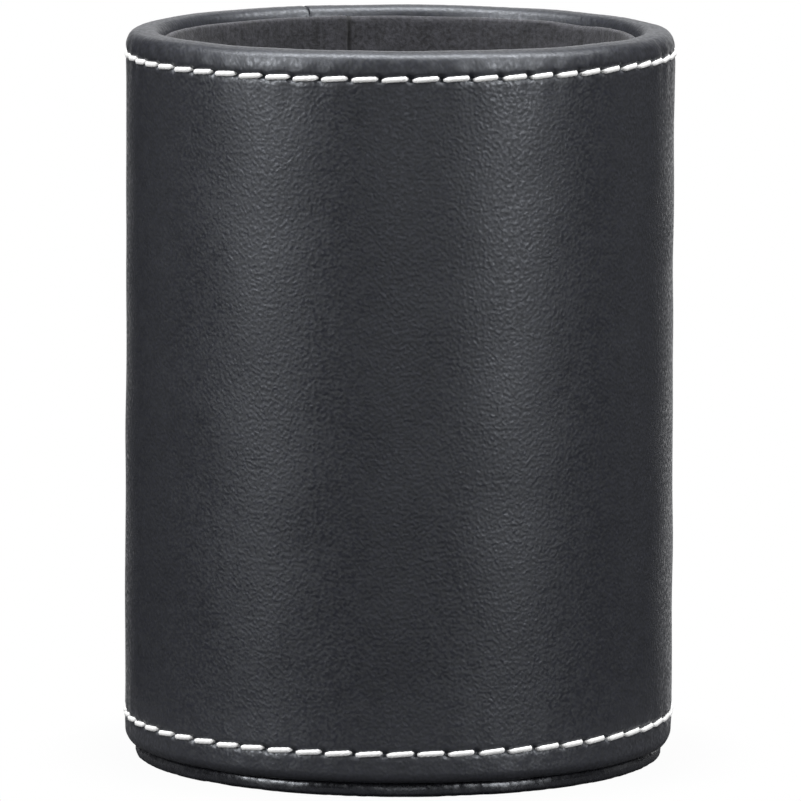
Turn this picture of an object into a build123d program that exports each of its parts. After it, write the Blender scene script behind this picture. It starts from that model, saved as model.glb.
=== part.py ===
from build123d import *
from math import cos, pi, radians, sin
import os

# Round pen cup: a paperboard tube wrapped in stitched leather, lined inside, on a leather-covered
# base plate. Millimetres. The origin is the middle of the underside, +Z is up and the front faces -Y.

os.makedirs("parts", exist_ok=True)

# The whole cup
cup_diameter = 75.0
cup_height = 100.0

# Outer leather, turned over the rim and under the foot
leather = 0.9
rim_outer_radius = 1.5
rim_inner_radius = 1.3
foot_radius = 1.5
rim_hem = 8.0
foot_hem = 9.5
seam_gap = 0.3
seam_angle = 111.8

# Paperboard tube and floor
tube_wall = 2.4
floor_thickness = 3.0

# Lining sleeve with a lap seam, and the lining on the floor
lining = 0.9
lining_below_rim = 1.1
lap_step = 0.5
lap_angle = 103.5
lap_run = 22.0
floor_lining = 0.8

# Base plate
base_thickness = 2.0
base_inset = 1.3
base_leather = 0.5
base_edge_chamfer = 0.45
base_hem = 9.0

# Lockstitch rows
top_stitch_count = 57
bottom_stitch_count = 56
top_row_below_rim = 2.9
bottom_row_above_foot = 4.15
top_row_start = 268.9
bottom_row_start = 270.4
thread_width = 0.65
thread_rise = 0.45
stitch_slant = 4.0
dimple_length = 1.1
dimple_depth = 0.6
bobbin_thickness = 0.2
bobbin_width = 0.6

# Clearances: glue between the layers, and thread in its holes
glue_line = 0.1
thread_fit = 0.05

# Radii and heights that follow from them
cup_radius = cup_diameter / 2
cover_back_radius = cup_radius - leather
tube_outer_radius = cover_back_radius - bobbin_thickness - 2 * glue_line
tube_inner_radius = tube_outer_radius - tube_wall
hem_back_radius = tube_inner_radius - glue_line
hem_face_radius = hem_back_radius - leather
lining_outer_radius = hem_face_radius - glue_line
lining_inner_radius = lining_outer_radius - lining

foot_height = base_thickness
tube_bottom = foot_height + leather + glue_line
back_bevel = (rim_outer_radius - leather) * (2 - 2**0.5)
tube_top = cup_height - leather - max(glue_line, back_bevel - bobbin_thickness)
floor_top = tube_bottom + floor_thickness
lining_bottom = floor_top + glue_line
lining_top = cup_height - lining_below_rim
bobbin_radius = cover_back_radius - glue_line
bobbin_inner_radius = bobbin_radius - bobbin_thickness
base_radius = cup_radius - base_inset

top_row_height = cup_height - top_row_below_rim
bottom_row_height = foot_height + bottom_row_above_foot
top_holes_start = top_row_start + 180 / top_stitch_count
bottom_holes_start = bottom_row_start + 180 / bottom_stitch_count


def polar(radius, angle, height=0):
    """The point at a radius and at an angle in degrees, counted from +X towards +Y."""
    return Vector(radius * cos(radians(angle)), radius * sin(radians(angle)), height)


def rounded(corner, radius, start):
    """A round corner of a section, a quarter turn clockwise from an angle in two light facets."""
    turns = [radians(start - 45 * step) for step in range(3)]
    x = corner[0] - radius * (cos(turns[0]) + cos(turns[2]))
    y = corner[1] - radius * (sin(turns[0]) + sin(turns[2]))
    return [(x + radius * cos(turn), y + radius * sin(turn)) for turn in turns]


def stitch_pitch(count):
    """How far apart the needle holes of a row are."""
    return 2 * cup_radius * sin(pi / count)


def wall_plane(angle, height, slant=0):
    """A plane on the outside of the wall: x to the right and up by the slant, y outwards."""
    outwards = polar(1, angle)
    upwards = Vector(0, 0, 1)
    along = upwards.cross(outwards) * cos(radians(slant)) + upwards * sin(radians(slant))
    return Plane(origin=polar(cup_radius, angle, height), x_dir=along, z_dir=along.cross(outwards))


def dimple_height(count):
    """A dimple takes the high end of one slanted stitch and the low end of the next."""
    return thread_width + stitch_pitch(count) * sin(radians(stitch_slant)) + 2 * thread_fit


def stitch_outline(count):
    """A stitch from the side: it lies on the leather, and both its ends dive into dimples."""
    bottom = dimple_depth - 2 * thread_fit
    tip = (cup_radius - dimple_depth) * sin(pi / count) - thread_fit
    knee = (stitch_pitch(count) - dimple_length) / 2
    return [
        (-knee, thread_rise),
        (knee, thread_rise),
        (tip, -bottom),
        (knee, thread_fit),
        (-knee, thread_fit),
        (-tip, -bottom),
    ]


# The dimple at one needle hole of each row, halfway between two stitches
dimple_outline = [(0, -dimple_depth), (dimple_length, dimple_depth), (-dimple_length, dimple_depth)]

with BuildPart() as top_dimple:
    with BuildSketch(wall_plane(top_holes_start, top_row_height)):
        Polygon(*dimple_outline, align=None)
    extrude(amount=dimple_height(top_stitch_count) / 2, both=True)

with BuildPart() as bottom_dimple:
    with BuildSketch(wall_plane(bottom_holes_start, bottom_row_height)):
        Polygon(*dimple_outline, align=None)
    extrude(amount=dimple_height(bottom_stitch_count) / 2, both=True)

# Outer cover: one sheet turned round both ends of the tube, with its hems skived to a feather edge
with BuildPart() as outer_cover:
    with BuildSketch(Plane.XZ):
        with BuildLine():
            Polyline(
                (hem_back_radius, cup_height - rim_hem),
                *rounded((hem_face_radius, cup_height), rim_inner_radius, 180),
                *rounded((cup_radius, cup_height), rim_outer_radius, 90),
                *rounded((cup_radius, foot_height), foot_radius, 0),
                (cup_radius - foot_hem, foot_height),
                (cover_back_radius, foot_height + leather),
                (cover_back_radius, cup_height - leather - back_bevel),
                (cover_back_radius - back_bevel, cup_height - leather),
                (hem_back_radius, cup_height - leather),
                close=True,
            )
        make_face()
    revolve(axis=Axis.Z)
    # Butt seam, where the two ends of the sheet meet
    with BuildSketch(Plane.XY):
        with PolarLocations(cup_radius - foot_hem / 2, 1, start_angle=seam_angle):
            Rectangle(2 * foot_hem, seam_gap)
    extrude(amount=cup_height, mode=Mode.SUBTRACT)
    # Dimples of both rows, where the thread is drawn into its needle holes
    with PolarLocations(0, top_stitch_count):
        add(top_dimple.part, mode=Mode.SUBTRACT)
    with PolarLocations(0, bottom_stitch_count):
        add(bottom_dimple.part, mode=Mode.SUBTRACT)
outer_cover.part.label = "outer_cover"
export_step(outer_cover.part, "parts/outer_cover.step")

# Needle thread of the upper row: one stitch, repeated round the cup
with BuildPart() as top_stitch:
    with BuildSketch(wall_plane(top_row_start, top_row_height, stitch_slant)):
        Polygon(*stitch_outline(top_stitch_count), align=None)
    extrude(amount=thread_width / 2, both=True)

with BuildPart() as top_stitching:
    with PolarLocations(0, top_stitch_count):
        add(top_stitch.part)
top_stitching.part.label = "top_stitching"
export_step(top_stitching.part, "parts/top_stitching.step")

# Needle thread of the lower row
with BuildPart() as bottom_stitch:
    with BuildSketch(wall_plane(bottom_row_start, bottom_row_height, stitch_slant)):
        Polygon(*stitch_outline(bottom_stitch_count), align=None)
    extrude(amount=thread_width / 2, both=True)

with BuildPart() as bottom_stitching:
    with PolarLocations(0, bottom_stitch_count):
        add(bottom_stitch.part)
bottom_stitching.part.label = "bottom_stitching"
export_step(bottom_stitching.part, "parts/bottom_stitching.step")

# Bobbin threads: flattened behind the leather, and straight from one needle hole to the next
with BuildPart() as top_bobbin_thread:
    with BuildSketch(Plane.XY.offset(top_row_height - bobbin_width / 2)):
        RegularPolygon(bobbin_radius, top_stitch_count, rotation=top_holes_start)
        RegularPolygon(bobbin_inner_radius, top_stitch_count, rotation=top_holes_start, mode=Mode.SUBTRACT)
    extrude(amount=bobbin_width)
top_bobbin_thread.part.label = "top_bobbin_thread"
export_step(top_bobbin_thread.part, "parts/top_bobbin_thread.step")

with BuildPart() as bottom_bobbin_thread:
    with BuildSketch(Plane.XY.offset(bottom_row_height - bobbin_width / 2)):
        RegularPolygon(bobbin_radius, bottom_stitch_count, rotation=bottom_holes_start)
        RegularPolygon(
            bobbin_inner_radius, bottom_stitch_count, rotation=bottom_holes_start, mode=Mode.SUBTRACT
        )
    extrude(amount=bobbin_width)
bottom_bobbin_thread.part.label = "bottom_bobbin_thread"
export_step(bottom_bobbin_thread.part, "parts/bottom_bobbin_thread.step")

# Core tube: paperboard, cut square, and short enough for the leather to turn softly over its edge
with BuildPart() as core_tube:
    with BuildSketch(Plane.XY.offset(tube_bottom)):
        Circle(tube_outer_radius)
        Circle(tube_inner_radius, mode=Mode.SUBTRACT)
    extrude(amount=tube_top - tube_bottom)
core_tube.part.label = "core_tube"
export_step(core_tube.part, "parts/core_tube.step")

# Floor board: the disc inside the tube's foot, lying on the turned-under leather
with BuildPart() as floor_board:
    with BuildSketch(Plane.XY.offset(tube_bottom)):
        Circle(tube_inner_radius - glue_line)
    extrude(amount=floor_thickness)
floor_board.part.label = "floor_board"
export_step(floor_board.part, "parts/floor_board.step")

# Lining sleeve: it stands on the floor board, and its right-hand end laps under its left-hand one
with BuildPart() as lining_wall:
    with BuildSketch(Plane.XY.offset(lining_bottom)):
        Circle(lining_outer_radius)
        Circle(lining_inner_radius, mode=Mode.SUBTRACT)
        with BuildLine():
            lap_face = RadiusArc(
                polar(lining_inner_radius - lap_step, lap_angle),
                polar(lining_inner_radius, lap_angle + lap_run),
                -lining_inner_radius,
            )
            lap_back = RadiusArc(
                polar(lining_inner_radius + lining / 2, lap_angle),
                polar(lining_inner_radius + lining / 2, lap_angle + lap_run),
                -lining_inner_radius - lining / 2,
            )
            Line(lap_face @ 0, lap_back @ 0)
            Line(lap_face @ 1, lap_back @ 1)
        make_face()
    extrude(amount=lining_top - lining_bottom)
lining_wall.part.label = "lining_wall"
export_step(lining_wall.part, "parts/lining_wall.step")

# Lining on the floor, inside the sleeve and clear of its lap
with BuildPart() as lining_floor:
    with BuildSketch(Plane.XY.offset(lining_bottom)):
        Circle(lining_inner_radius - lap_step - glue_line)
    extrude(amount=floor_lining)
lining_floor.part.label = "lining_floor"
export_step(lining_floor.part, "parts/lining_floor.step")

# Base cover: the leather round the base plate, turned over its edge onto the top and skived there
with BuildPart() as base_cover:
    with BuildSketch(Plane.XZ):
        with BuildLine():
            Polyline(
                (0, 0),
                (base_radius - base_edge_chamfer, 0),
                (base_radius, base_edge_chamfer),
                (base_radius, base_thickness - base_edge_chamfer),
                (base_radius - base_edge_chamfer, base_thickness),
                (base_radius - base_hem, base_thickness),
                (base_radius - base_leather, base_thickness - base_leather),
                (base_radius - base_leather, base_leather),
                (0, base_leather),
                close=True,
            )
        make_face()
    revolve(axis=Axis.Z)
base_cover.part.label = "base_cover"
export_step(base_cover.part, "parts/base_cover.step")

# Base board: the stiff disc inside the base plate's leather
with BuildPart() as base_board:
    with BuildSketch(Plane.XY.offset(base_leather)):
        Circle(base_radius - base_leather - glue_line)
    extrude(amount=base_thickness - 2 * base_leather)
base_board.part.label = "base_board"
export_step(base_board.part, "parts/base_board.step")
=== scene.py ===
from math import cos, pi, radians, sin, sqrt

import bmesh
import bpy
import numpy as np
from mathutils import Matrix, Vector
from mathutils.geometry import tessellate_polygon


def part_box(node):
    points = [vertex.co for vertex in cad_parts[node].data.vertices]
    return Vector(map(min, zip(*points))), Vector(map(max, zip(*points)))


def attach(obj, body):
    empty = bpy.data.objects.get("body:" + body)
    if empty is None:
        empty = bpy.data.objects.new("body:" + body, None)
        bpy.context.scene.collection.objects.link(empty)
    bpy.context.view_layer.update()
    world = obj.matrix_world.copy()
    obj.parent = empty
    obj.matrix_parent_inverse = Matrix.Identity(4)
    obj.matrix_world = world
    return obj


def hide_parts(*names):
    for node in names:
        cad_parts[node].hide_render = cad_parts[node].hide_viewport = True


# The looks of a round leather pen cup. Shapes are worked out in millimetres and written in metres.
# Angles are in degrees from +X towards +Y, so the front of the cup is at 270.

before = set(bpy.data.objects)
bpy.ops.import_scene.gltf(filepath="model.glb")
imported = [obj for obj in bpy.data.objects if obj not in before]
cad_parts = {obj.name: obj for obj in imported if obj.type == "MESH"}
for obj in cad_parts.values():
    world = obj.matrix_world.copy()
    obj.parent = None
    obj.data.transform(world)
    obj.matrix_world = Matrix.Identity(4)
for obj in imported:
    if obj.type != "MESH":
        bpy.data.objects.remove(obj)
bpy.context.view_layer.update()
MM = 0.001


def size_of(node):
    """The largest radius, the bottom and the top of a CAD node that goes round the cup's axis."""
    low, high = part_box(node)
    return high.x / MM, low.z / MM, high.z / MM


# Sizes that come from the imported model
rim_height = size_of("outer_cover")[2]
foot_height = size_of("outer_cover")[1]
lining_outer_radius, lining_bottom, lining_top = size_of("lining_wall")
_, floor_bottom, floor_top = size_of("lining_floor")
base_radius, _, base_top = size_of("base_cover")

# Leather cover
cup_radius = 37.5
leather = 0.9
rim_outer_radius = 1.6
rim_outer_drop = 2.2
rim_inner_radius = 1.3
rim_inner_drop = 1.9
rim_face_radius = 32.8
rim_crown = 0.1
rim_lift_back = 0.02
rim_lift_front = 0.54
hem_back_radius = 33.7
hem_length = 8.0
foot_radius = 1.5
foot_hem = 9.5
foot_flare = 0.16
flare_top = 66.0
flare_bottom = 20.0
seam_angle = 112.5
seam_gap = 0.06
seam_edge_radius = 0.32
seam_edge_offsets = [0.0, 0.04, 0.1, 0.2, 0.32]
rim_on_sheet = (7.0, 13.5)
rim_blend = 0.6
rim_grain = 0.007
rim_grain_length = 1.5
rim_grain_stretch = 2.5
wall_wave = 0.03
wall_wave_length = 15
wall_reach = 0.6
foot_wave = 0.03
foot_wave_length = 9
foot_wave_height = 6
foot_margin = 1
leather_specular_tint = (0.9, 0.94, 1.0, 1.0)
leather_specular_level = 1.0
polish_fade = 1
polish_roughness = -0.02
polish_relief = 0.35
polish_hatch = 0.6
columns_round = 352
fine_per_column = 3

# Lockstitch rows
top_count = 57
bottom_count = 56
top_row_height = rim_height - 2.93
bottom_row_height = foot_height + 4.12
top_start = 268.9
bottom_start = 270.4
row_tilt = 0.0046
stitch_slant = 4.0
thread_width = 0.72
thread_thickness = 0.46
thread_dive = 0.75
thread_hook = 0.1
hole_inset = 0.33
end_taper = 0.4
end_sharpness = 9
first_end_pinch = 0.1
first_hook_sharpness = 4
last_hook_sharpness = 8
spread_angle = 0.06
spread_slant = 0.7
spread_height = 0.025
spread_length = 0.02
bobbin_thickness = 0.2
bobbin_gap = 0.1
bobbin_slack = 0.01
bobbin_width_share = 0.93
bobbin_thickness_share = 0.9
bed_depth = 0.2
bed_half_width = 0.52
hole_depth = 0.5
hole_half_length = 0.42
hole_half_height = 0.42
pucker_height = 0.05
pucker_centre = 1.3
pucker_half_width = 0.6
row_reach = 3
band_half_height = 1.25

# Lining
lining = 0.9
lap_angle = 103.5
lap_crease_offset = 0.4
lap_crease_half_width = 0.6
# Where the painted shade of the lap's crease lies along the lining's sheet
lap_on_sheet = radians(lap_angle - lap_crease_offset) * cup_radius
lap_run = 22.0
lap_step = 0.12
lap_crease = 0.2
lap_edge_radius = 0.7
floor_gap = 0.06
lap_columns = [
    -2.4, -2.0, -1.6, -1.3, -1.0, -0.75, -0.5, -0.3, -0.15,
    -0.05, 0.0, 0.05, 0.12, 0.22, 0.4, 0.65, 0.95,
]
lap_column_reach = 2
lining_columns = 600
lining_margin = 0.01
lining_top_band = 6
lining_wave = 0.05
lining_wave_length = 13
lining_fine_wave = 0.02
lining_fine_wave_length = 3
lining_top_wave = 0.06
lining_top_wave_length = 12
disc_edge_radius = 0.15
disc_wave = 0.05
disc_wave_length = 11
disc_columns = 240
centre_radius = 0.3

# Base plate
base_edge_radius = 0.6
base_edge_drop = 1.1
base_leather = 0.5
base_hem = 9.0
wrinkle_start = 3.5
wrinkle_full = 0.4
wrinkle_depth = 0.014
wrinkle_length = 1.7
wrinkle_stretch = 1.6
base_wave = 0.03
base_wave_length = 7

# Studio
softbox_aim_height = 50.0
table_radius = 56.0
# Near the cup the table's white share falls to this, which paints a faint shade round the cup
table_white_share_with_painted_shade = 0.97
world_grey = 0.5
room_left = 1100.0
room_right = 1750.0
room_height = 3000.0
room_length = 6000.0

# Lamps: name, azimuth, elevation, distance, width, height and radiance
lamps = [
    ("left_box", -57, 24, 550, 150, 260, 11.7),
    ("left_low_box", -57, 4, 550, 150, 140, 2.0),
    ("right_box", 46, 24, 550, 150, 260, 8.6),
    ("right_low_box", 46, 4, 550, 150, 140, 3.4),
    ("front_box", 0, 4, 550, 200, 140, 1.4),
    ("top_box", 0, 85, 1000, 2400, 450, 9.9),
    ("top_back_box", 180, 50, 1000, 500, 300, 2.2),
    ("side_right_box", 112, 5, 700, 260, 400, 0.27),
    ("side_left_box", -115, 5, 700, 200, 400, 0.18),
]

# Camera, as the photograph was taken
camera_distance = 1353.75
camera_elevation = 7.81
camera_target = (0.16, 0.0, 48.94)
camera_roll = 0.2
camera_lens = 442.9


def ripple(u, v, length, seed, stretch=1.0, waves=28):
    """Smooth random waves of about a length, drawn out along v by the stretch, with a spread of one."""
    draw = np.random.default_rng(seed)
    across = v / stretch
    total = np.zeros(np.broadcast(u, v).shape)
    for _ in range(waves):
        heading = draw.uniform(0, 2 * pi)
        pace = 2 * pi / (length * draw.uniform(0.7, 1.5))
        total += np.sin(pace * (u * cos(heading) + across * sin(heading)) + draw.uniform(0, 2 * pi))
    return total / sqrt(waves / 2)


def smooth(low, high, value):
    """A soft step from 0 at low to 1 at high."""
    share = np.clip((value - low) / (high - low), 0, 1)
    return share * share * (3 - 2 * share)


def around(angles, centre):
    """Angles taken from a centre, between -180 and 180."""
    return (np.asarray(angles) - centre + 180) % 360 - 180


def line_rows(start, end, count, fine=False):
    """Section rows along a straight run, without its first point: radius, height, normal and fineness."""
    (r0, z0), (r1, z1) = start, end
    length = sqrt((r1 - r0) ** 2 + (z1 - z0) ** 2)
    normal = (-(z1 - z0) / length, (r1 - r0) / length)
    shares = [(step + 1) / count for step in range(count)]
    return [(r0 + (r1 - r0) * share, z0 + (z1 - z0) * share, *normal, fine) for share in shares]


def arc_rows(centre, radius, start, end, count, fine=False, drop=None):
    """Section rows round an arc, without its first point. With a drop, the arc is that high, not round."""
    drop = drop or radius
    rows = []
    for step in range(count):
        turn = radians(start + (end - start) * (step + 1) / count)
        slope = sqrt((cos(turn) / radius) ** 2 + (sin(turn) / drop) ** 2)
        normal = (cos(turn) / radius / slope, sin(turn) / drop / slope)
        rows.append((centre[0] + radius * cos(turn), centre[1] + drop * sin(turn), *normal, fine))
    return rows


def no_shift(angles, z):
    """Rows that stay where their section says."""
    return 0.0, 0.0


def revolve(rows, angles, push, whole_round, whole_section, shift=no_shift):
    """Points, faces and sheet coordinates of section rows taken round by angles.

    A row that isn't fine uses every third angle. push says how far points move along their normal,
    from their angles, radius, height and distance along the section. shift says how far they move
    outwards and up, from their angles and height. Where the round or the section isn't whole, its
    two ends are closed with faces.
    """
    points, sheet, rings = [], [], []
    travel = 0.0
    for index, (r, z, nr, nz, fine) in enumerate(rows):
        if index:
            travel += sqrt((r - rows[index - 1][0]) ** 2 + (z - rows[index - 1][1]) ** 2)
        used = angles if fine else angles[::fine_per_column]
        turn = np.radians(used)
        moved = push(used, r, z, travel)
        outwards, up = shift(used, z)
        radius = r + nr * moved + outwards
        height = z + nz * moved + up
        rings.append((len(points), len(used)))
        points.extend(np.column_stack([radius * np.cos(turn), radius * np.sin(turn), height]))
        sheet.extend(np.column_stack([turn * cup_radius, np.full(len(used), travel)]))
    faces = []
    pairs = list(zip(rings, rings[1:] + rings[:1]))
    for (a, count_a), (b, count_b) in pairs if whole_section else pairs[:-1]:
        spans = min(count_a, count_b) - (0 if whole_round else 1)
        step_a = 1 if count_a <= count_b else fine_per_column
        step_b = 1 if count_b <= count_a else fine_per_column
        for i in range(spans):
            side_a = [a + (i * step_a + k) % count_a for k in range(step_a + 1)]
            side_b = [b + (i * step_b + k) % count_b for k in range(step_b + 1)]
            faces.append(side_a + side_b[::-1])
    if not whole_round:
        section = [Vector((r, z, 0)) for r, z, *_ in rows]
        for corners in tessellate_polygon([section]):
            faces.append([rings[corner][0] for corner in corners])
            faces.append([rings[corner][0] + rings[corner][1] - 1 for corner in corners])
    if not whole_section:
        faces.append(list(range(rings[0][1])))
        faces.append([rings[-1][0] + i for i in range(rings[-1][1])])
    return points, faces, sheet


def sweep_thread(points, outwards, width, thickness, closed):
    """Points and faces of a twisted, flattened thread along a line, with its broad side turned outwards."""
    around_thread = 14
    plies = 3
    ply_relief = 0.05
    ply_pitch = 0.85
    line = np.asarray(points)
    tangents = np.gradient(line, axis=0)
    if closed:
        tangents = np.roll(line, -1, axis=0) - np.roll(line, 1, axis=0)
    tangents /= np.linalg.norm(tangents, axis=1)[:, None]
    side = np.cross(tangents, outwards)
    side /= np.linalg.norm(side, axis=1)[:, None]
    up = np.cross(side, tangents)
    steps = np.linalg.norm(np.diff(line, axis=0), axis=1)
    travel = np.concatenate([[0], np.cumsum(steps)])
    if closed:
        travel *= round(travel[-1] / (plies * ply_pitch)) * plies * ply_pitch / travel[-1]
    turns = 2 * pi * np.arange(around_thread) / around_thread
    verts = []
    for index in range(len(line)):
        twist = 2 * pi * travel[index] / ply_pitch
        swell = 1 + ply_relief * np.cos(plies * turns - twist)
        across = np.cos(turns) * swell * width[index] / 2
        above = np.sin(turns) * swell * thickness[index] / 2
        verts.extend(line[index] + np.outer(across, side[index]) + np.outer(above, up[index]))
    faces = []
    for index in range(len(line) if closed else len(line) - 1):
        here = index * around_thread
        there = (index + 1) % len(line) * around_thread
        for k in range(around_thread):
            nearby = (k + 1) % around_thread
            faces.append([here + k, here + nearby, there + nearby, there + k])
    if not closed:
        faces.append(list(range(around_thread)))
        faces.append([(len(line) - 1) * around_thread + k for k in range(around_thread)])
    return verts, faces


def make_piece(name, points, faces, material, nodes, sheet=None):
    """A smooth mesh from points in millimetres, which rides on the cup's one body."""
    mesh = bpy.data.meshes.new(name)
    mesh.from_pydata((np.asarray(points) * MM).tolist(), [], faces)
    if sheet is not None:
        layer = mesh.uv_layers.new(name="sheet")
        corners = np.empty(len(mesh.loops), dtype=np.int32)
        mesh.loops.foreach_get("vertex_index", corners)
        layer.data.foreach_set("uv", np.asarray(sheet, dtype=np.float32)[corners].ravel())
    work = bmesh.new()
    work.from_mesh(mesh)
    bmesh.ops.recalc_face_normals(work, faces=work.faces)
    work.to_mesh(mesh)
    work.free()
    mesh.polygons.foreach_set("use_smooth", [True] * len(mesh.polygons))
    mesh.materials.append(material)
    piece = bpy.data.objects.new(name, mesh)
    bpy.context.scene.collection.objects.link(piece)
    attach(piece, "root")
    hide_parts(*nodes)


# Materials


def linear(red, green, blue):
    """A colour as seen on a screen, from 0 to 255, as the linear values that shaders take."""
    shares = [value / 255 for value in (red, green, blue)]
    return [s / 12.92 if s <= 0.04045 else ((s + 0.055) / 1.055) ** 2.4 for s in shares] + [1.0]


def add_node(tree, kind, settings=None, **inputs):
    """A shader node with its settings, and its inputs linked or set. Underscores stand for spaces."""
    made = tree.nodes.new(kind)
    for key, value in (settings or {}).items():
        setattr(made, key, value)
    for key, value in inputs.items():
        socket = made.inputs[key.replace("_", " ")]
        if isinstance(value, bpy.types.NodeSocket):
            tree.links.new(value, socket)
        else:
            socket.default_value = value
    return made


def math_node(tree, operation, first, second):
    """The output of a Math node on two inputs, each a socket or a number."""
    made = tree.nodes.new("ShaderNodeMath")
    made.operation = operation
    for socket, value in zip(made.inputs, (first, second)):
        if isinstance(value, bpy.types.NodeSocket):
            tree.links.new(value, socket)
        else:
            socket.default_value = value
    return made.outputs[0]


def vector_node(tree, operation, first, *others, scale=None):
    """The output of a Vector Math node on up to three inputs, each a socket or three numbers."""
    made = tree.nodes.new("ShaderNodeVectorMath")
    made.operation = operation
    for socket, value in zip(made.inputs, (first, *others)):
        if isinstance(value, bpy.types.NodeSocket):
            tree.links.new(value, socket)
        else:
            socket.default_value = value
    if scale is not None:
        tree.links.new(scale, made.inputs["Scale"])
    return made.outputs["Vector"]


def noise(tree, place, scale, detail=3.0, roughness=0.55):
    """A noise texture's value at a place."""
    return add_node(
        tree, "ShaderNodeTexNoise", Vector=place, Scale=scale, Detail=detail, Roughness=roughness
    ).outputs["Fac"]


def drawn_out(tree, place, turn, along, across):
    """Coordinates turned and scaled unevenly, so that a texture on them is drawn out."""
    turned = add_node(
        tree, "ShaderNodeVectorRotate", {"rotation_type": "Z_AXIS"}, Vector=place, Angle=radians(turn)
    ).outputs["Vector"]
    return vector_node(tree, "MULTIPLY", turned, (along, across, 1.0))


def ramp(tree, value, low, high, low_out=0.0, high_out=1.0):
    """A value mapped by a soft step from one range to another, held at both ends."""
    made = add_node(tree, "ShaderNodeMapRange", {"interpolation_type": "SMOOTHSTEP"}, Value=value)
    made.inputs["From Min"].default_value = low
    made.inputs["From Max"].default_value = high
    made.inputs["To Min"].default_value = low_out
    made.inputs["To Max"].default_value = high_out
    return made.outputs["Result"]


def blend_colours(tree, share, first, second):
    """A mix of two colours, each a socket or a linear colour."""
    made = tree.nodes.new("ShaderNodeMix")
    made.data_type = "RGBA"
    tree.links.new(share, made.inputs["Factor"])
    for socket, value in ((made.inputs[6], first), (made.inputs[7], second)):
        if isinstance(value, bpy.types.NodeSocket):
            tree.links.new(value, socket)
        else:
            socket.default_value = value
    return made.outputs[2]


def new_material(name):
    """A new material, its node tree and its plain shader."""
    material = bpy.data.materials.new(name)
    material.use_nodes = True
    tree = material.node_tree
    return material, tree, tree.nodes["Principled BSDF"]


def leather_material(name, dark, light, roughness, depth, mottling, polished=None):
    """Fine-grained leather: pores and cells with slanting creases, speckled in tone and in gloss.

    mottling is how far the speckle moves the roughness. Between the two polished distances along the
    sheet, the leather is drawn smooth and glossier, with a fine slanting hatch.
    """
    material, tree, shader = new_material(name)
    sheet = add_node(tree, "ShaderNodeUVMap", {"uv_map": "sheet"}).outputs["UV"]
    warp = add_node(tree, "ShaderNodeTexNoise", Vector=sheet, Scale=0.9, Detail=2.0).outputs["Color"]
    place = vector_node(tree, "MULTIPLY_ADD", warp, (0.6, 0.6, 0.0), sheet)
    creases = noise(tree, drawn_out(tree, place, 33.0, 1.3, 0.85), 1.8, detail=0.0)
    cells = add_node(
        tree, "ShaderNodeTexVoronoi", {"feature": "SMOOTH_F1"}, Vector=place, Scale=2.0, Smoothness=0.8
    ).outputs["Distance"]
    pores = noise(tree, sheet, 2.0, detail=0.0)
    patches = noise(tree, sheet, 0.15, detail=3.0)
    marked = ramp(tree, creases, 0.25, 0.75)
    marked = math_node(tree, "MULTIPLY", marked, ramp(tree, patches, 0.38, 0.62, 0.15, 0.45))
    relief = math_node(tree, "ADD", marked, ramp(tree, cells, 0.0, 0.7, 0.35, 0.0))
    relief = math_node(tree, "ADD", relief, ramp(tree, pores, 0.25, 0.75, 0.0, 0.6))
    bump = add_node(tree, "ShaderNodeBump", Strength=1.0, Distance=depth * MM, Height=relief)
    mottle = ramp(tree, noise(tree, sheet, 0.5, detail=6.0, roughness=0.65), 0.3, 0.7)
    tint = blend_colours(tree, mottle, linear(*dark), linear(*light))
    speckle = noise(tree, place, 1.7, detail=1.0)
    shaded = vector_node(tree, "SCALE", tint, scale=ramp(tree, speckle, 0.3, 0.7, 0.45, 1.5))
    cloudy = ramp(tree, noise(tree, sheet, 0.4, detail=4.0), 0.3, 0.7, roughness - 0.03, roughness + 0.03)
    gloss = math_node(tree, "ADD", cloudy, ramp(tree, relief, 0.15, 0.75, 0.05, -0.05))
    mottled = ramp(tree, speckle, 0.3, 0.7, mottling, -mottling)
    if polished:
        travel = add_node(tree, "ShaderNodeSeparateXYZ", Vector=sheet).outputs["Y"]
        centre = (polished[0] + polished[1]) / 2
        reach = (polished[1] - polished[0]) / 2
        from_centre = math_node(tree, "ABSOLUTE", math_node(tree, "SUBTRACT", travel, centre), 0.0)
        near, far = reach - polish_fade, reach + polish_fade
        gloss = math_node(tree, "ADD", gloss, ramp(tree, from_centre, near, far, polish_roughness, 0.0))
        drawn_smooth = ramp(tree, from_centre, near, far, polish_relief, 1.0)
        mottled = math_node(tree, "MULTIPLY", mottled, drawn_smooth)
        hatch = noise(tree, drawn_out(tree, place, 45.0, 1.75, 0.45), 1.9, detail=0.0)
        strained = math_node(tree, "MULTIPLY", relief, drawn_smooth)
        hatched = math_node(tree, "MULTIPLY", hatch, ramp(tree, from_centre, near, far, polish_hatch, 0.0))
        tree.links.new(math_node(tree, "ADD", strained, hatched), bump.inputs["Height"])
    gloss = math_node(tree, "ADD", gloss, mottled)
    tree.links.new(shaded, shader.inputs["Base Color"])
    tree.links.new(gloss, shader.inputs["Roughness"])
    tree.links.new(bump.outputs["Normal"], shader.inputs["Normal"])
    shader.inputs["Specular Tint"].default_value = leather_specular_tint
    shader.inputs["Specular IOR Level"].default_value = leather_specular_level
    return material


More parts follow.
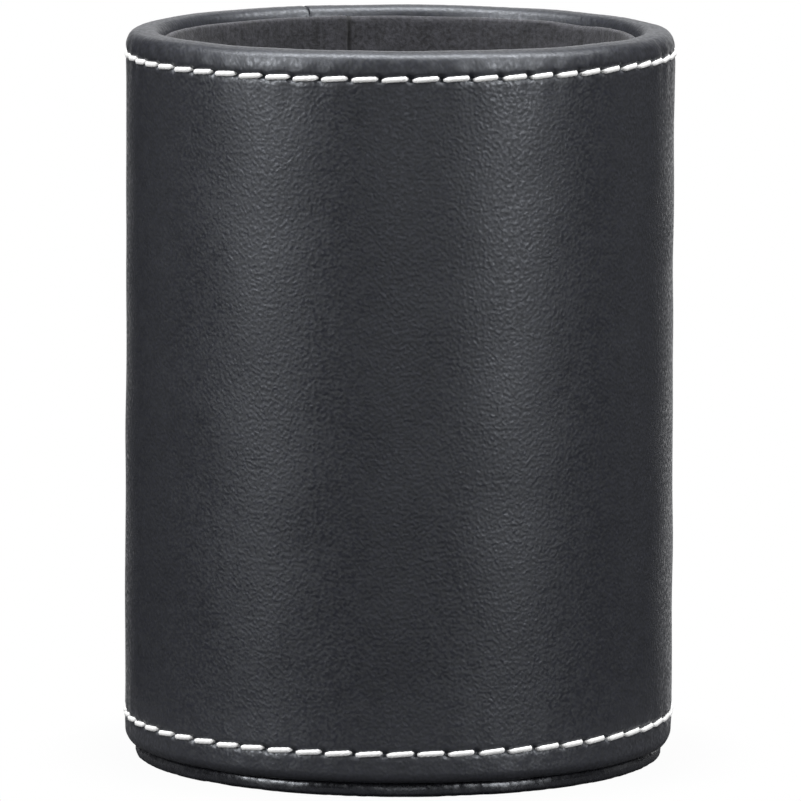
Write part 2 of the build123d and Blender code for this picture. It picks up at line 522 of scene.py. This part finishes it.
def thread_material():
    """White thread with fine fibres and a faint uneven soiling."""
    material, tree, shader = new_material("white_thread")
    place = add_node(tree, "ShaderNodeTexCoord").outputs["Object"]
    fibres = noise(tree, place, 4200.0, detail=3.0)
    soil = noise(tree, place, 260.0, detail=3.0)
    tint = blend_colours(tree, ramp(tree, soil, 0.35, 0.6), linear(244, 244, 243), linear(252, 252, 251))
    bump = add_node(tree, "ShaderNodeBump", Strength=1.0, Distance=0.00003, Height=fibres)
    tree.links.new(tint, shader.inputs["Base Color"])
    tree.links.new(ramp(tree, fibres, 0.3, 0.7, 0.55, 0.75), shader.inputs["Roughness"])
    tree.links.new(bump.outputs["Normal"], shader.inputs["Normal"])
    shader.inputs["Sheen Weight"].default_value = 0.15
    return material


def lining_material():
    """Dark suede-like lining with a short uneven nap, and painted shade in the crease beside its lap."""
    material, tree, shader = new_material("lining")
    sheet = add_node(tree, "ShaderNodeUVMap", {"uv_map": "sheet"}).outputs["UV"]
    nap = noise(tree, sheet, 1.5, detail=4.0, roughness=0.6)
    brushed = noise(tree, drawn_out(tree, sheet, 0.0, 1.0, 0.35), 0.5, detail=5.0, roughness=0.6)
    nap_share = math_node(tree, "MULTIPLY", nap, 0.6)
    mottle = math_node(tree, "ADD", nap_share, math_node(tree, "MULTIPLY", brushed, 0.4))
    tint = blend_colours(tree, ramp(tree, mottle, 0.34, 0.66), linear(26, 26, 30), linear(66, 66, 72))
    along = add_node(tree, "ShaderNodeSeparateXYZ", Vector=sheet).outputs["X"]
    from_lap = math_node(tree, "ABSOLUTE", math_node(tree, "SUBTRACT", along, lap_on_sheet), 0.0)
    # Painted shade: the tint falls to a third close to the lap's crease.
    shaded = vector_node(tree, "SCALE", tint, scale=ramp(tree, from_lap, 0.15, 0.65, 0.3, 1.0))
    height = math_node(tree, "ADD", nap, math_node(tree, "MULTIPLY", brushed, 0.8))
    bump = add_node(tree, "ShaderNodeBump", Strength=1.0, Distance=0.00012, Height=height)
    tree.links.new(shaded, shader.inputs["Base Color"])
    tree.links.new(ramp(tree, brushed, 0.3, 0.7, 0.7, 0.85), shader.inputs["Roughness"])
    tree.links.new(bump.outputs["Normal"], shader.inputs["Normal"])
    shader.inputs["Sheen Weight"].default_value = 0.25
    shader.inputs["Sheen Roughness"].default_value = 0.45
    return material


def greyboard_material():
    """Recycled paperboard: grey, flecked and laid in thin layers."""
    material, tree, shader = new_material("greyboard")
    place = add_node(tree, "ShaderNodeTexCoord").outputs["Object"]
    fibre = noise(tree, place, 900.0, detail=6.0, roughness=0.7)
    flecks = ramp(tree, noise(tree, place, 2600.0, detail=2.0), 0.62, 0.7)
    layers = add_node(
        tree, "ShaderNodeTexWave", {"bands_direction": "Z"}, Vector=place, Scale=420.0, Distortion=3.0
    ).outputs["Fac"]
    tint = blend_colours(tree, fibre, linear(150, 146, 136), linear(184, 180, 170))
    tint = blend_colours(tree, flecks, tint, linear(96, 92, 86))
    height = math_node(tree, "ADD", fibre, math_node(tree, "MULTIPLY", layers, 0.3))
    bump = add_node(tree, "ShaderNodeBump", Strength=1.0, Distance=0.00008, Height=height)
    tree.links.new(tint, shader.inputs["Base Color"])
    tree.links.new(ramp(tree, fibre, 0.3, 0.7, 0.8, 0.95), shader.inputs["Roughness"])
    tree.links.new(bump.outputs["Normal"], shader.inputs["Normal"])
    return material


cover_leather = leather_material("cover_leather", (28, 29, 34), (35, 36, 42), 0.48, 0.028, 0.12, rim_on_sheet)
base_leather_look = leather_material("base_leather", (20, 20, 24), (27, 27, 32), 0.3, 0.009, 0.02)
white_thread = thread_material()
dark_lining = lining_material()
greyboard = greyboard_material()


# Leather cover


def wall_flare(z):
    """How far the wall stands out towards the foot."""
    return foot_flare * smooth(flare_top, flare_bottom, z)


def row_height_at(angles, row_height):
    """The height of a stitch row, which runs up a little to the right."""
    return row_height + row_tilt * cup_radius * np.cos(np.radians(angles))


def row_relief(angles, z, count, start, row_height):
    """How far a stitch row moves the leather: in under each stitch and at each hole, out beside them."""
    pitch = 360 / count
    nearest = around(angles - start, 0) / pitch
    along = (nearest - np.round(nearest)) * radians(pitch) * cup_radius
    rise = z - row_height_at(angles, row_height)
    across = rise * cos(radians(stitch_slant)) - along * sin(radians(stitch_slant))
    bed = bed_depth * np.exp(-((across / bed_half_width) ** 2))
    from_hole = (nearest - np.floor(nearest) - 0.5) * radians(pitch) * cup_radius
    hole = hole_depth * np.exp(-((from_hole / hole_half_length) ** 2) - (rise / hole_half_height) ** 2)
    beside = np.exp(-(((np.abs(rise) - pucker_centre) / pucker_half_width) ** 2))
    pucker = pucker_height * beside * np.cos(2 * pi * nearest)
    return pucker - bed - hole


def cover_shift(angles, z):
    """The wall's flare, and the rim's rise from the back to the front."""
    front_share = (1 - np.sin(np.radians(angles))) / 2
    lift = rim_lift_back + (rim_lift_front - rim_lift_back) * front_share**2
    return wall_flare(z), lift * smooth(top_row_height + rim_blend, rim_height - rim_blend, z)


def cover_push(angles, r, z, travel):
    """How far the cover's face stands off its plain section."""
    along = np.radians(angles) * cup_radius
    on_wall = r > cup_radius - wall_reach
    under_foot = z < foot_height + foot_margin and r > cup_radius - foot_hem + foot_margin
    if not (on_wall or z > lining_top or under_foot):
        return np.zeros(len(angles))
    ends = np.minimum(along - along[0], along[-1] - along)
    inside_edge = np.clip(seam_edge_radius - ends, 0, seam_edge_radius)
    moved = np.sqrt(seam_edge_radius**2 - inside_edge**2) - seam_edge_radius
    moved += wall_wave * ripple(along, z, wall_wave_length, seed=3)
    rim = smooth(rim_height - rim_outer_radius, rim_height - rim_blend, z)
    if r < cup_radius - rim_outer_radius:
        rim = 1.0
        middle = (rim_face_radius + cup_radius) / 2
        moved += rim_crown * (1 - ((r - middle) / (cup_radius - middle)) ** 2)
    moved += rim * rim_grain * ripple(along, travel, rim_grain_length, seed=5, stretch=rim_grain_stretch)
    foot = smooth(foot_height + foot_wave_height, foot_height, z)
    moved += foot_wave * ripple(along, 0 * along, foot_wave_length, seed=7) * foot
    if on_wall and abs(z - top_row_height) < row_reach:
        moved += row_relief(angles, z, top_count, top_start, top_row_height)
    if on_wall and abs(z - bottom_row_height) < row_reach:
        moved += row_relief(angles, z, bottom_count, bottom_start, bottom_row_height)
    return moved


def make_cover():
    """The leather sheet: up behind the lining, over the rim, down the wall and under the foot."""
    wall = cup_radius
    rim = rim_height
    foot = foot_height
    back = wall - leather
    bevel = (rim_outer_radius - leather) * (2 - sqrt(2))
    hem_end = (hem_back_radius, rim - hem_length)
    face_top = (rim_face_radius, rim - rim_inner_drop)
    shares = [0.0, 0.35, 0.7, 0.86]
    hem_run = (face_top[0] - hem_end[0], face_top[1] - hem_end[1])
    rows = [(hem_end[0] + hem_run[0] * s, hem_end[1] + hem_run[1] * s, -1, 0, False) for s in shares]
    rows += line_rows(rows[-1][:2], face_top, 3, True)
    inner = (rim_face_radius + rim_inner_radius, rim - rim_inner_drop)
    rows += arc_rows(inner, rim_inner_radius, 180, 90, 8, True, rim_inner_drop)
    rows += line_rows((rim_face_radius + rim_inner_radius, rim), (wall - rim_outer_radius, rim), 5, True)
    outer = (wall - rim_outer_radius, rim - rim_outer_drop)
    rows += arc_rows(outer, rim_outer_radius, 90, 0, 13, True, rim_outer_drop)
    rows += line_rows((wall, rim - rim_outer_drop), (wall, top_row_height - band_half_height), 13, True)
    band_top = (wall, top_row_height - band_half_height)
    rows += line_rows(band_top, (wall, bottom_row_height + band_half_height), 34)
    rows += line_rows(
        (wall, bottom_row_height + band_half_height), (wall, bottom_row_height - band_half_height), 17, True
    )
    rows += line_rows((wall, bottom_row_height - band_half_height), (wall, foot + foot_radius), 3, True)
    rows += arc_rows((wall - foot_radius, foot + foot_radius), foot_radius, 0, -90, 8, True)
    rows += line_rows((wall - foot_radius, foot), (wall - foot_hem, foot), 5)
    rows += line_rows((wall - foot_hem, foot), (back, foot + leather), 2)
    rows += line_rows((back, foot + leather), (back, rim - leather - bevel), 12)
    rows += line_rows((back, rim - leather - bevel), (back - bevel, rim - leather), 1)
    rows += line_rows((back - bevel, rim - leather), (hem_back_radius, rim - leather), 2)
    rows += line_rows((hem_back_radius, rim - leather), hem_end, 3)[:-1]
    start = seam_gap / 2
    length = 2 * pi * cup_radius - seam_gap
    edges = np.array(seam_edge_offsets)
    spans = columns_round * fine_per_column
    middle = np.linspace(edges[-1], length - edges[-1], spans + 2)[1:-1]
    places = np.concatenate([edges, middle, length - edges[::-1]]) + start
    angles = seam_angle + np.degrees(places / cup_radius)
    points, faces, sheet = revolve(rows, angles, cover_push, False, True, cover_shift)
    make_piece("leather_cover", points, faces, cover_leather, ["outer_cover"], sheet)


# Lockstitch rows


def make_stitches(name, count, start, row_height, seed, node):
    """One row of needle-thread stitches, each arched over the leather and dipping into its holes."""
    draw = np.random.default_rng(seed)
    rings = 25
    arch = 10
    half = pi * cup_radius / count - hole_inset
    face_radius = cup_radius + wall_flare(row_height)
    points, faces = [], []
    for stitch in range(count):
        centre = start + stitch * 360 / count + draw.normal(0, spread_angle)
        slant = radians(stitch_slant + draw.normal(0, spread_slant))
        lift = row_height_at(centre, row_height) + draw.normal(0, spread_height)
        reach = half + draw.normal(0, spread_length)
        share = np.sin(np.linspace(-pi / 2, pi / 2, rings))
        along = share * reach
        radius = face_radius - thread_dive * np.abs(share) ** arch
        turn = radians(centre) + along * cos(slant) / cup_radius
        first_hook = -thread_hook * np.clip(-share, 0, 1) ** first_hook_sharpness
        hook = first_hook + thread_hook * np.clip(share, 0, 1) ** last_hook_sharpness
        height = lift + along * sin(slant) + hook
        line = np.column_stack([radius * np.cos(turn), radius * np.sin(turn), height])
        outwards = np.column_stack([np.cos(turn), np.sin(turn), 0 * turn])
        ends = 1 - end_taper * np.abs(share) ** end_sharpness
        pinch = 1 - first_end_pinch * smooth(-0.5, -1.0, share)
        more_points, more_faces = sweep_thread(
            line, outwards, thread_width * ends * pinch, thread_thickness * ends, False
        )
        faces.extend([[index + len(points) for index in face] for face in more_faces])
        points.extend(more_points)
    make_piece(name, points, faces, white_thread, [node])


def make_bobbin(name, count, start, row_height, node):
    """The under thread of a row, straight behind the leather from one needle hole to the next."""
    per_run = 8
    _, low, high = size_of(node)
    holes = start + 180 / count
    angles = np.radians(holes + np.arange(count * per_run) * 360 / (count * per_run))
    from_middle = np.radians(around(np.degrees(angles) - holes, 0) % (360 / count) - 180 / count)
    behind = cup_radius - leather - bobbin_gap
    path_radius = behind * cos(pi / count) / np.cos(from_middle) - bobbin_thickness / 2 - bobbin_slack
    line = np.column_stack(
        [path_radius * np.cos(angles), path_radius * np.sin(angles), np.full(len(angles), row_height)]
    )
    outwards = np.column_stack([np.cos(angles), np.sin(angles), 0 * angles])
    width = np.full(len(line), high - low) * bobbin_width_share
    thickness = np.full(len(line), bobbin_thickness * bobbin_thickness_share)
    points, faces = sweep_thread(line, outwards, width, thickness, True)
    make_piece(name, points, faces, white_thread, [node])


# Lining


def lining_push(angles, r, z, travel):
    """The sleeve's wavy face, its raised lap and the crease beside it."""
    along = np.radians(angles) * lining_outer_radius
    facing = 1.0 if r < lining_outer_radius - lining / 2 - lining_margin else 0.0
    from_lap = around(angles, lap_angle)
    on_lap = (from_lap >= 0) & (from_lap <= lap_run)
    lap = np.where(on_lap, lap_step * (1 - from_lap / lap_run), 0)
    edge = np.clip(from_lap * radians(1) * lining_outer_radius / lap_edge_radius, 0, 1)
    lap = lap * np.sqrt(1 - (1 - edge) ** 2)
    crease = lap_crease * np.exp(-(((from_lap + lap_crease_offset) / lap_crease_half_width) ** 2))
    wave = lining_wave * ripple(along, z, lining_wave_length, seed=11)
    wave = wave + lining_fine_wave * ripple(along, z, lining_fine_wave_length, seed=12)
    top = lining_top_wave * ripple(along, 0 * along, lining_top_wave_length, seed=13)
    top = top * (z > lining_top - lining / 2)
    return facing * (lap - crease + wave) + top


def make_lining_wall():
    """The lining sleeve, with a rounded top edge and a lap seam."""
    inner = lining_outer_radius - lining
    half = lining / 2
    rows = [(inner, lining_bottom, -1, 0, True)]
    rows += line_rows((inner, lining_bottom), (inner, lining_top - lining_top_band), 30, True)
    rows += line_rows((inner, lining_top - lining_top_band), (inner, lining_top - half), 10, True)
    rows += arc_rows((inner + half, lining_top - half), half, 180, 0, 10, True)
    rows += line_rows((lining_outer_radius, lining_top - half), (lining_outer_radius, lining_bottom), 8, True)
    spread = np.linspace(0, 360, lining_columns, endpoint=False)
    lap_middle = lap_angle + (lap_columns[0] + lap_columns[-1]) / 2
    far = np.abs(around(spread, lap_middle)) > lap_column_reach
    angles = np.sort(np.concatenate([spread[far], lap_angle + np.array(lap_columns)]))
    points, faces, sheet = revolve(rows, angles, lining_push, True, True)
    make_piece("lining_sleeve", points, faces, dark_lining, ["lining_wall"], sheet)


def disc_push(angles, r, z, travel):
    """The floor lining's gentle waves."""
    turn = np.radians(angles)
    on_top = z > (floor_bottom + floor_top) / 2
    return disc_wave * ripple(r * np.cos(turn), r * np.sin(turn), disc_wave_length, seed=17) * on_top


def make_lining_floor():
    """The lining disc on the floor, with a soft edge that nearly reaches the sleeve."""
    soft = disc_edge_radius
    edge = lining_outer_radius - lining - floor_gap
    rows = [(centre_radius, floor_top, 0, 1, True)]
    rows += line_rows((centre_radius, floor_top), (edge - soft, floor_top), 26, True)
    rows += arc_rows((edge - soft, floor_top - soft), soft, 90, 0, 5, True)
    rows += line_rows((edge, floor_top - soft), (edge, floor_bottom), 2, True)
    rows += line_rows((edge, floor_bottom), (centre_radius, floor_bottom), 3, True)
    angles = np.linspace(0, 360, disc_columns, endpoint=False)
    points, faces, _ = revolve(rows, angles, disc_push, True, False)
    flat = [(point[0], point[1]) for point in points]
    make_piece("lining_disc", points, faces, dark_lining, ["lining_floor"], flat)


# Base plate


def base_push(angles, r, z, travel):
    """Small wrinkles where the leather is drawn round the plate's edge."""
    along = np.radians(angles) * base_radius
    edge = smooth(base_radius - wrinkle_start, base_radius - wrinkle_full, r)
    wrinkles = wrinkle_depth * ripple(along, travel, wrinkle_length, seed=23, stretch=wrinkle_stretch)
    moved = edge * (wrinkles + base_wave * ripple(along, travel, base_wave_length, seed=24))
    return np.minimum(moved, 0) if z < base_edge_radius / 2 else moved


def make_base():
    """The leather round the base plate: the inside of its bottom, its hem, its edge and its underside."""
    inside = base_radius - base_leather
    round_in = base_radius - base_edge_radius
    rows = [(centre_radius, base_leather, 0, 1, False)]
    rows += line_rows((centre_radius, base_leather), (inside, base_leather), 3)
    rows += line_rows((inside, base_leather), (inside, base_top - base_leather), 1)
    rows += line_rows((inside, base_top - base_leather), (base_radius - base_hem, base_top), 2)
    rows += line_rows((base_radius - base_hem, base_top), (round_in - 1, base_top), 4)
    rows += line_rows((round_in - 1, base_top), (round_in, base_top), 3, True)
    rows += arc_rows((round_in, base_top - base_edge_drop), base_edge_radius, 90, 0, 10, True, base_edge_drop)
    rows += line_rows((base_radius, base_top - base_edge_drop), (base_radius, base_edge_radius), 2, True)
    rows += arc_rows((round_in, base_edge_radius), base_edge_radius, 0, -90, 9, True)
    rows += line_rows((round_in, 0), (round_in - 2, 0), 3, True)
    rows += line_rows((round_in - 2, 0), (centre_radius, 0), 14)
    angles = np.linspace(0, 360, columns_round * fine_per_column, endpoint=False)
    points, faces, sheet = revolve(rows, angles, base_push, True, False)
    make_piece("base_wrap", points, faces, base_leather_look, ["base_cover"], sheet)


make_cover()
make_stitches("top_stitches", top_count, top_start, top_row_height, 31, "top_stitching")
make_stitches("bottom_stitches", bottom_count, bottom_start, bottom_row_height, 32, "bottom_stitching")
make_bobbin("top_bobbin", top_count, top_start, top_row_height, "top_bobbin_thread")
make_bobbin("bottom_bobbin", bottom_count, bottom_start, bottom_row_height, "bottom_bobbin_thread")
make_lining_wall()
make_lining_floor()
make_base()

# The boards inside keep their solids
for node in ("core_tube", "floor_board", "base_board"):
    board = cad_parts[node]
    board.data.materials.clear()
    board.data.materials.append(greyboard)


# Studio


def seen_as_white(tree, to_camera=1.0, mirrored=1.0):
    """The share of white for camera rays, and for glossy and transmission rays. Other rays have none."""
    rays = add_node(tree, "ShaderNodeLightPath").outputs
    indirect = math_node(tree, "MAXIMUM", rays["Is Glossy Ray"], rays["Is Transmission Ray"])
    direct = math_node(tree, "MULTIPLY", rays["Is Camera Ray"], to_camera)
    return math_node(tree, "MAXIMUM", direct, math_node(tree, "MULTIPLY", indirect, mirrored))


def make_floor():
    """A round table top, white to the camera, and in gloss at its rim. Its white share falls a little towards
    the cup, a painted shade round it, in which the real shadow shows only faintly.
    """
    bpy.ops.mesh.primitive_circle_add(vertices=180, radius=table_radius * MM, fill_type="NGON")
    floor = bpy.context.object
    floor.name = "studio_floor"
    material, tree, shader = new_material("studio_floor")
    shader.inputs["Base Color"].default_value = linear(70, 70, 72)
    shader.inputs["Roughness"].default_value = 0.9
    white = add_node(tree, "ShaderNodeEmission", Color=(1, 1, 1, 1), Strength=1.0)
    place = add_node(tree, "ShaderNodeTexCoord").outputs["Object"]
    reach = add_node(tree, "ShaderNodeVectorMath", {"operation": "LENGTH"}, Vector=place).outputs["Value"]
    rim = table_radius * MM
    # Painted shade: less white towards the cup, so the table is a little darker round it.
    to_camera = ramp(tree, reach, 0.6 * rim, 0.95 * rim, table_white_share_with_painted_shade, 1.0)
    mirrored = ramp(tree, reach, 0.9 * rim, rim, 0.0, 1.0)
    mixed = tree.nodes.new("ShaderNodeMixShader")
    tree.links.new(seen_as_white(tree, to_camera, mirrored), mixed.inputs[0])
    tree.links.new(shader.outputs["BSDF"], mixed.inputs[1])
    tree.links.new(white.outputs["Emission"], mixed.inputs[2])
    tree.links.new(mixed.outputs["Shader"], tree.nodes["Material Output"].inputs["Surface"])
    floor.data.materials.append(material)


def make_room():
    """A dark studio that the camera looks through. It is open behind the cup, where gloss shows the white."""
    half, reach = room_height / 2, room_length / 2
    corners = [(x, y, z) for y in (-reach, reach) for x in (-room_left, room_right) for z in (-half, half)]
    walls = [(0, 1, 3, 2), (0, 1, 5, 4), (2, 3, 7, 6), (1, 3, 7, 5), (0, 2, 6, 4)]
    mesh = bpy.data.meshes.new("studio_room")
    mesh.from_pydata((np.array(corners) * MM).tolist(), [], walls)
    room = bpy.data.objects.new("studio_room", mesh)
    bpy.context.scene.collection.objects.link(room)
    room.visible_camera = False
    material, _, shader = new_material("studio_room")
    shader.inputs["Base Color"].default_value = linear(60, 60, 62)
    shader.inputs["Roughness"].default_value = 0.9
    room.data.materials.append(material)


def make_world():
    """White to the camera and in reflections, and a plain grey light otherwise."""
    world = bpy.data.worlds.new("studio")
    bpy.context.scene.world = world
    world.use_nodes = True
    tree = world.node_tree
    background = tree.nodes["Background"]
    background.inputs["Color"].default_value = (1, 1, 1, 1)
    strength = ramp(tree, seen_as_white(tree), 0.0, 1.0, world_grey, 1.0)
    tree.links.new(strength, background.inputs["Strength"])


def softbox(name, azimuth, elevation, distance, width, height, radiance):
    """A flat soft light that faces the cup, in millimetres. Azimuth 0 is in front, and 90 to the right."""
    aim = Vector((0, 0, softbox_aim_height))
    lamp = bpy.data.lights.new(name, "AREA")
    lamp.shape = "RECTANGLE"
    lamp.size = width * MM
    lamp.size_y = height * MM
    lamp.energy = radiance * pi * width * height * MM * MM
    holder = bpy.data.objects.new(name, lamp)
    a, e = radians(azimuth), radians(elevation)
    away = Vector((sin(a) * cos(e), -cos(a) * cos(e), sin(e)))
    holder.visible_camera = False
    holder.location = (aim + away * distance) * MM
    holder.rotation_euler = away.to_track_quat("Z", "Y").to_euler()
    bpy.context.scene.collection.objects.link(holder)


def make_camera():
    """The photograph's view: a long lens a little above the cup."""
    lens = bpy.data.cameras.new("camera")
    lens.lens = camera_lens
    lens.sensor_width = 36
    lens.clip_start = 0.05
    lens.clip_end = 60
    camera = bpy.data.objects.new("camera", lens)
    e = radians(camera_elevation)
    back = Vector((0, -cos(e), sin(e)))
    camera.location = (Vector(camera_target) + back * camera_distance) * MM
    turn = back.to_track_quat("Z", "Y").to_matrix() @ Matrix.Rotation(radians(camera_roll), 3, "Z")
    camera.rotation_euler = turn.to_euler()
    bpy.context.scene.collection.objects.link(camera)
    bpy.context.scene.camera = camera


make_floor()
make_room()
make_world()
for lamp in lamps:
    softbox(*lamp)
make_camera()
bpy.context.scene.view_settings.view_transform = "Standard"
